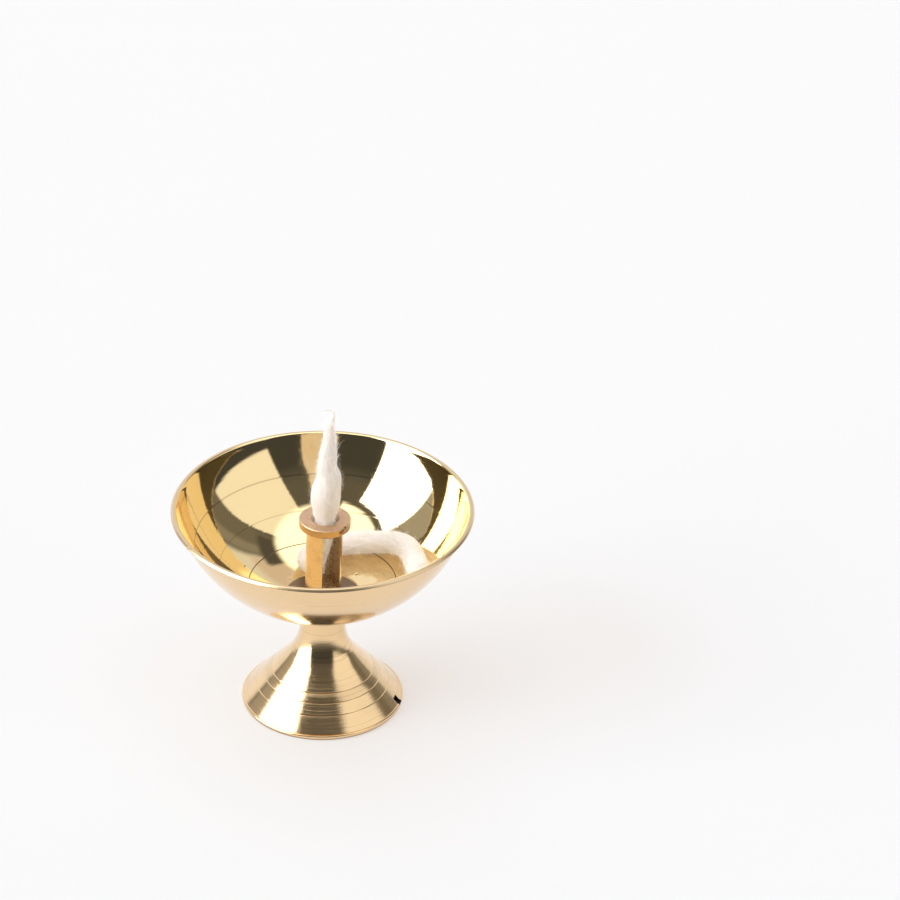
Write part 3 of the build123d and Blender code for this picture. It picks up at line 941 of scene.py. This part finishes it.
def cotton(name, glow):
    """Loose carded cotton: white, matt, with streaks along the roll. Light soaks in and comes out all
    round, most of all from single hairs; this is given as a faint painted glow, strongest on the hairs."""
    material, nodes, links, shader = blank_material(name)
    shader.inputs["Roughness"].default_value = 0.95
    shader.inputs["Specular IOR Level"].default_value = 0.1
    shader.inputs["Subsurface Weight"].default_value = 0.5
    shader.inputs["Subsurface Radius"].default_value = (1.0, 0.9, 0.8)
    shader.inputs["Subsurface Scale"].default_value = 0.8 * MM
    shader.inputs["Sheen Weight"].default_value = 0.25
    # Painted glow: emission in the cotton's own colour stands in for light scattered through it and
    # bounced from the brass.
    shader.inputs["Emission Color"].default_value = (*COTTON, 1)
    shader.inputs["Emission Strength"].default_value = glow
    along = nodes.new("ShaderNodeAttribute")
    along.attribute_name = "strand"
    streaks = nodes.new("ShaderNodeTexNoise")
    streaks.inputs["Scale"].default_value = 1.0
    streaks.inputs["Detail"].default_value = 5.0
    streaks.inputs["Distortion"].default_value = 0.4
    links.new(along.outputs["Vector"], streaks.inputs["Vector"])
    shade = ramp(nodes, links, streaks.outputs["Fac"], *SHADE_EDGES)
    shade = calculated(nodes, links, "MULTIPLY", shade, SHADE_STRENGTH)
    links.new(mixed(nodes, links, shade, COTTON, COTTON_SHADE), shader.inputs["Base Color"])
    place, _ = object_place(nodes, links)
    fluff = nodes.new("ShaderNodeTexNoise")
    fluff.inputs["Scale"].default_value = 1 / FLUFF_SIZE
    fluff.inputs["Detail"].default_value = 4.0
    fluff.inputs["Roughness"].default_value = 0.65
    links.new(place, fluff.inputs["Vector"])
    heights = [(streaks.outputs["Fac"], STREAK_DEPTH), (fluff.outputs["Fac"], FLUFF_DEPTH)]
    links.new(bumped(nodes, links, heights), shader.inputs["Normal"])
    return material


COTTON_ROLL = cotton("cotton_roll", COTTON_GLOW)
COTTON_HAIR = cotton("cotton_hair", HAIR_GLOW)


def line_of(name, places, radii, steps):
    """A NURBS line through control points in metres, as a curve object."""
    line = bpy.data.curves.new(name, "CURVE")
    line.dimensions = "3D"
    spline = line.splines.new("NURBS")
    spline.points.add(len(places) - 1)
    for point, place, radius in zip(spline.points, places, radii):
        point.co = (*place, 1)
        point.radius = radius
    spline.order_u = 3
    spline.use_endpoint_u = True
    spline.resolution_u = steps
    strand = bpy.data.objects.new(name, line)
    bpy.context.scene.collection.objects.link(strand)
    return strand


def points_of(strand):
    """The points that a curve with no bevel passes through, in order."""
    mesh = bpy.data.meshes.new_from_object(strand)
    places = [vertex.co.copy() for vertex in mesh.vertices]
    bpy.data.meshes.remove(mesh)
    return places


def made_mesh(strand):
    """Turns a curve object into a mesh in its place."""
    bpy.ops.object.select_all(action="DESELECT")
    strand.select_set(True)
    bpy.context.view_layer.objects.active = strand
    bpy.ops.object.convert(target="MESH")
    return bpy.context.object


def in_bowl(place):
    """Keeps a point of soft cotton just inside the bowl's wall, where it presses on it."""
    centre = Vector((0, 0, BOWL_CENTRE * MM))
    out = place - centre
    return centre + out * min(1.0, (BOWL_RADIUS - PRESSED_GAP) * MM / out.length)


def roll_place(turn, along, noise_scale):
    """A place for noise on the roll's skin, from the turn round it and the millimetres along it."""
    ring, per_mm = noise_scale
    return Vector((ring * cos(turn), ring * sin(turn), per_mm * along))


def fluff_up(piece, middle):
    """Roughens a smooth roll: soft lumps, and thin ridges of fibre that run along it.
    The strand attribute tells the cotton how far along and round the roll a point is."""
    reached = [0.0]
    for here, there in zip(middle, middle[1:]):
        reached.append(reached[-1] + (there - here).length)
    strand = piece.data.attributes.new("strand", "FLOAT_VECTOR", "POINT")
    for index, vertex in enumerate(piece.data.vertices):
        station = min(index // ROLL_SIDES, len(middle) - 1)
        turn = 2 * pi * (index % ROLL_SIDES) / ROLL_SIDES
        along = reached[station] / MM
        twist = turn + TWIST_PER_MM * along
        strand.data[index].vector = roll_place(twist, along, STREAKS)
        out = vertex.co - middle[station]
        thick = out.length
        if thick < THINNEST:
            continue
        lump = LUMP_HEIGHT * noise.noise(roll_place(turn, along, LUMPS))
        ridge = RIDGE_HEIGHT * noise.noise(roll_place(twist, along, RIDGES))
        grow = (lump + ridge) * min(1.0, thick / FULL_HEIGHT_RADIUS)
        vertex.co = in_bowl(vertex.co + out.normalized() * grow)


def fibres(name, middle, radii, count, lengths, lift, chance):
    """Loose fibres that lie along the roll and stand a little off it, as one mesh of thin hairs."""
    line = bpy.data.curves.new(name, "CURVE")
    line.dimensions = "3D"
    line.bevel_depth = FIBRE_RADIUS
    line.bevel_resolution = 0
    shortest, longest = HAIR_SCALES
    top = max(place.z for place in middle)
    stations = range(2, len(middle) - 2)
    weights = [sqrt(radii[station]) for station in stations]
    for station in chance.choices(stations, weights, k=count):
        ahead = (middle[station + 1] - middle[station - 1]).normalized()
        side = ahead.orthogonal().normalized()
        out = Matrix.Rotation(chance.uniform(0, 2 * pi), 3, ahead) @ side
        round_it = ahead.cross(out)
        length = chance.uniform(*lengths) * max(shortest, min(longest, radii[station]))
        heading = chance.choice((-1, 1)) * ahead + chance.uniform(-HAIR_SLANT, HAIR_SLANT) * round_it
        rise = lift * chance.random() ** 2
        curl = chance.uniform(-HAIR_CURL, HAIR_CURL)
        spline = line.splines.new("POLY")
        spline.points.add(HAIR_STEPS)
        for step, point in enumerate(spline.points):
            share = step / HAIR_STEPS
            place = middle[station] + out * (HAIR_ROOT * radii[station] + rise * length * share**1.5)
            place += heading * length * share + round_it * curl * length * share**2
            place.z = min(place.z, top)
            point.co = (*in_bowl(place), 1)
            point.radius = 1.0 - HAIR_TAPER * share
    hairs = bpy.data.objects.new(name, line)
    bpy.context.scene.collection.objects.link(hairs)
    return made_mesh(hairs)


def joined(piece, other):
    """Two meshes as one piece."""
    bpy.ops.object.select_all(action="DESELECT")
    other.select_set(True)
    piece.select_set(True)
    bpy.context.view_layer.objects.active = piece
    bpy.ops.object.join()
    return piece


def roll_of_cotton(name, places, radii, steps, hairs, lengths, lift):
    """A fluffy roll along a line, with its loose fibres. Gives the piece and the line's points."""
    chance = random.Random(COTTON_SEED)
    roll = line_of(name, places, radii, steps)
    middle = points_of(roll)
    roll.data.bevel_depth = 1.0
    roll.data.bevel_resolution = ROLL_SIDES // 2 - 2
    roll.data.use_fill_caps = True
    roll = made_mesh(roll)
    widths = []
    for station in range(len(middle)):
        ring = roll.data.vertices[station * ROLL_SIDES : (station + 1) * ROLL_SIDES]
        widths.append(sum((vertex.co - middle[station]).length for vertex in ring) / len(ring))
    fluff_up(roll, middle)
    roll.data.materials.clear()
    roll.data.materials.append(COTTON_ROLL)
    loose = fibres(name + "_hair", middle, widths, hairs, lengths, lift, chance)
    loose.data.materials.append(COTTON_HAIR)
    roll = joined(roll, loose)
    bpy.ops.object.shade_smooth()
    return roll, middle


wick_places = [Vector(step[:3]) * MM for step in WICK_STEPS]
wick_radii = [step[3] * MM for step in WICK_STEPS]
wick, _ = roll_of_cotton(
    "standing_cotton", wick_places, wick_radii, steps=22, hairs=3600, lengths=(0.4, 2.2), lift=0.6
)
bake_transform(wick)
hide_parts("wick")

# Tail: the rest of the same roll of cotton, which leaves the post through the back of its slot and lies
# loose round the bowl's wall, as far as just under the front rim, where it was torn off.
TAIL_ROUTE = [
    (-0.0008, 0.00139, 0.0338),
    (-0.0034, 0.00589, 0.0336),
    (-0.0026, 0.0106, 0.0325),
    (0.0014, 0.0137, 0.0329),
    (0.0066, 0.0140, 0.0338),
    (0.0117, 0.0126, 0.0348),
    (0.0164, 0.0103, 0.0363),
    (0.0200, 0.0062, 0.0375),
    (0.0212, 0.0006, 0.0377),
    (0.0220, -0.0049, 0.0389),
    (0.0219, -0.0100, 0.0406),
    (0.0210, -0.0150, 0.0426),
]
TAIL_RADII = [1.4, 3.0, 2.85, 2.6, 2.65, 2.6, 2.65, 2.7, 2.65, 2.6, 2.3, 1.5]
tail_places = [Vector(place) for place in TAIL_ROUTE]
tail_radii = [radius * MM for radius in TAIL_RADII]
tail, tail_middle = roll_of_cotton(
    "cotton_tail", tail_places, tail_radii, steps=28, hairs=5400, lengths=(0.5, 2.2), lift=0.5
)
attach(tail, "lamp")
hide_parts("wick_tail")
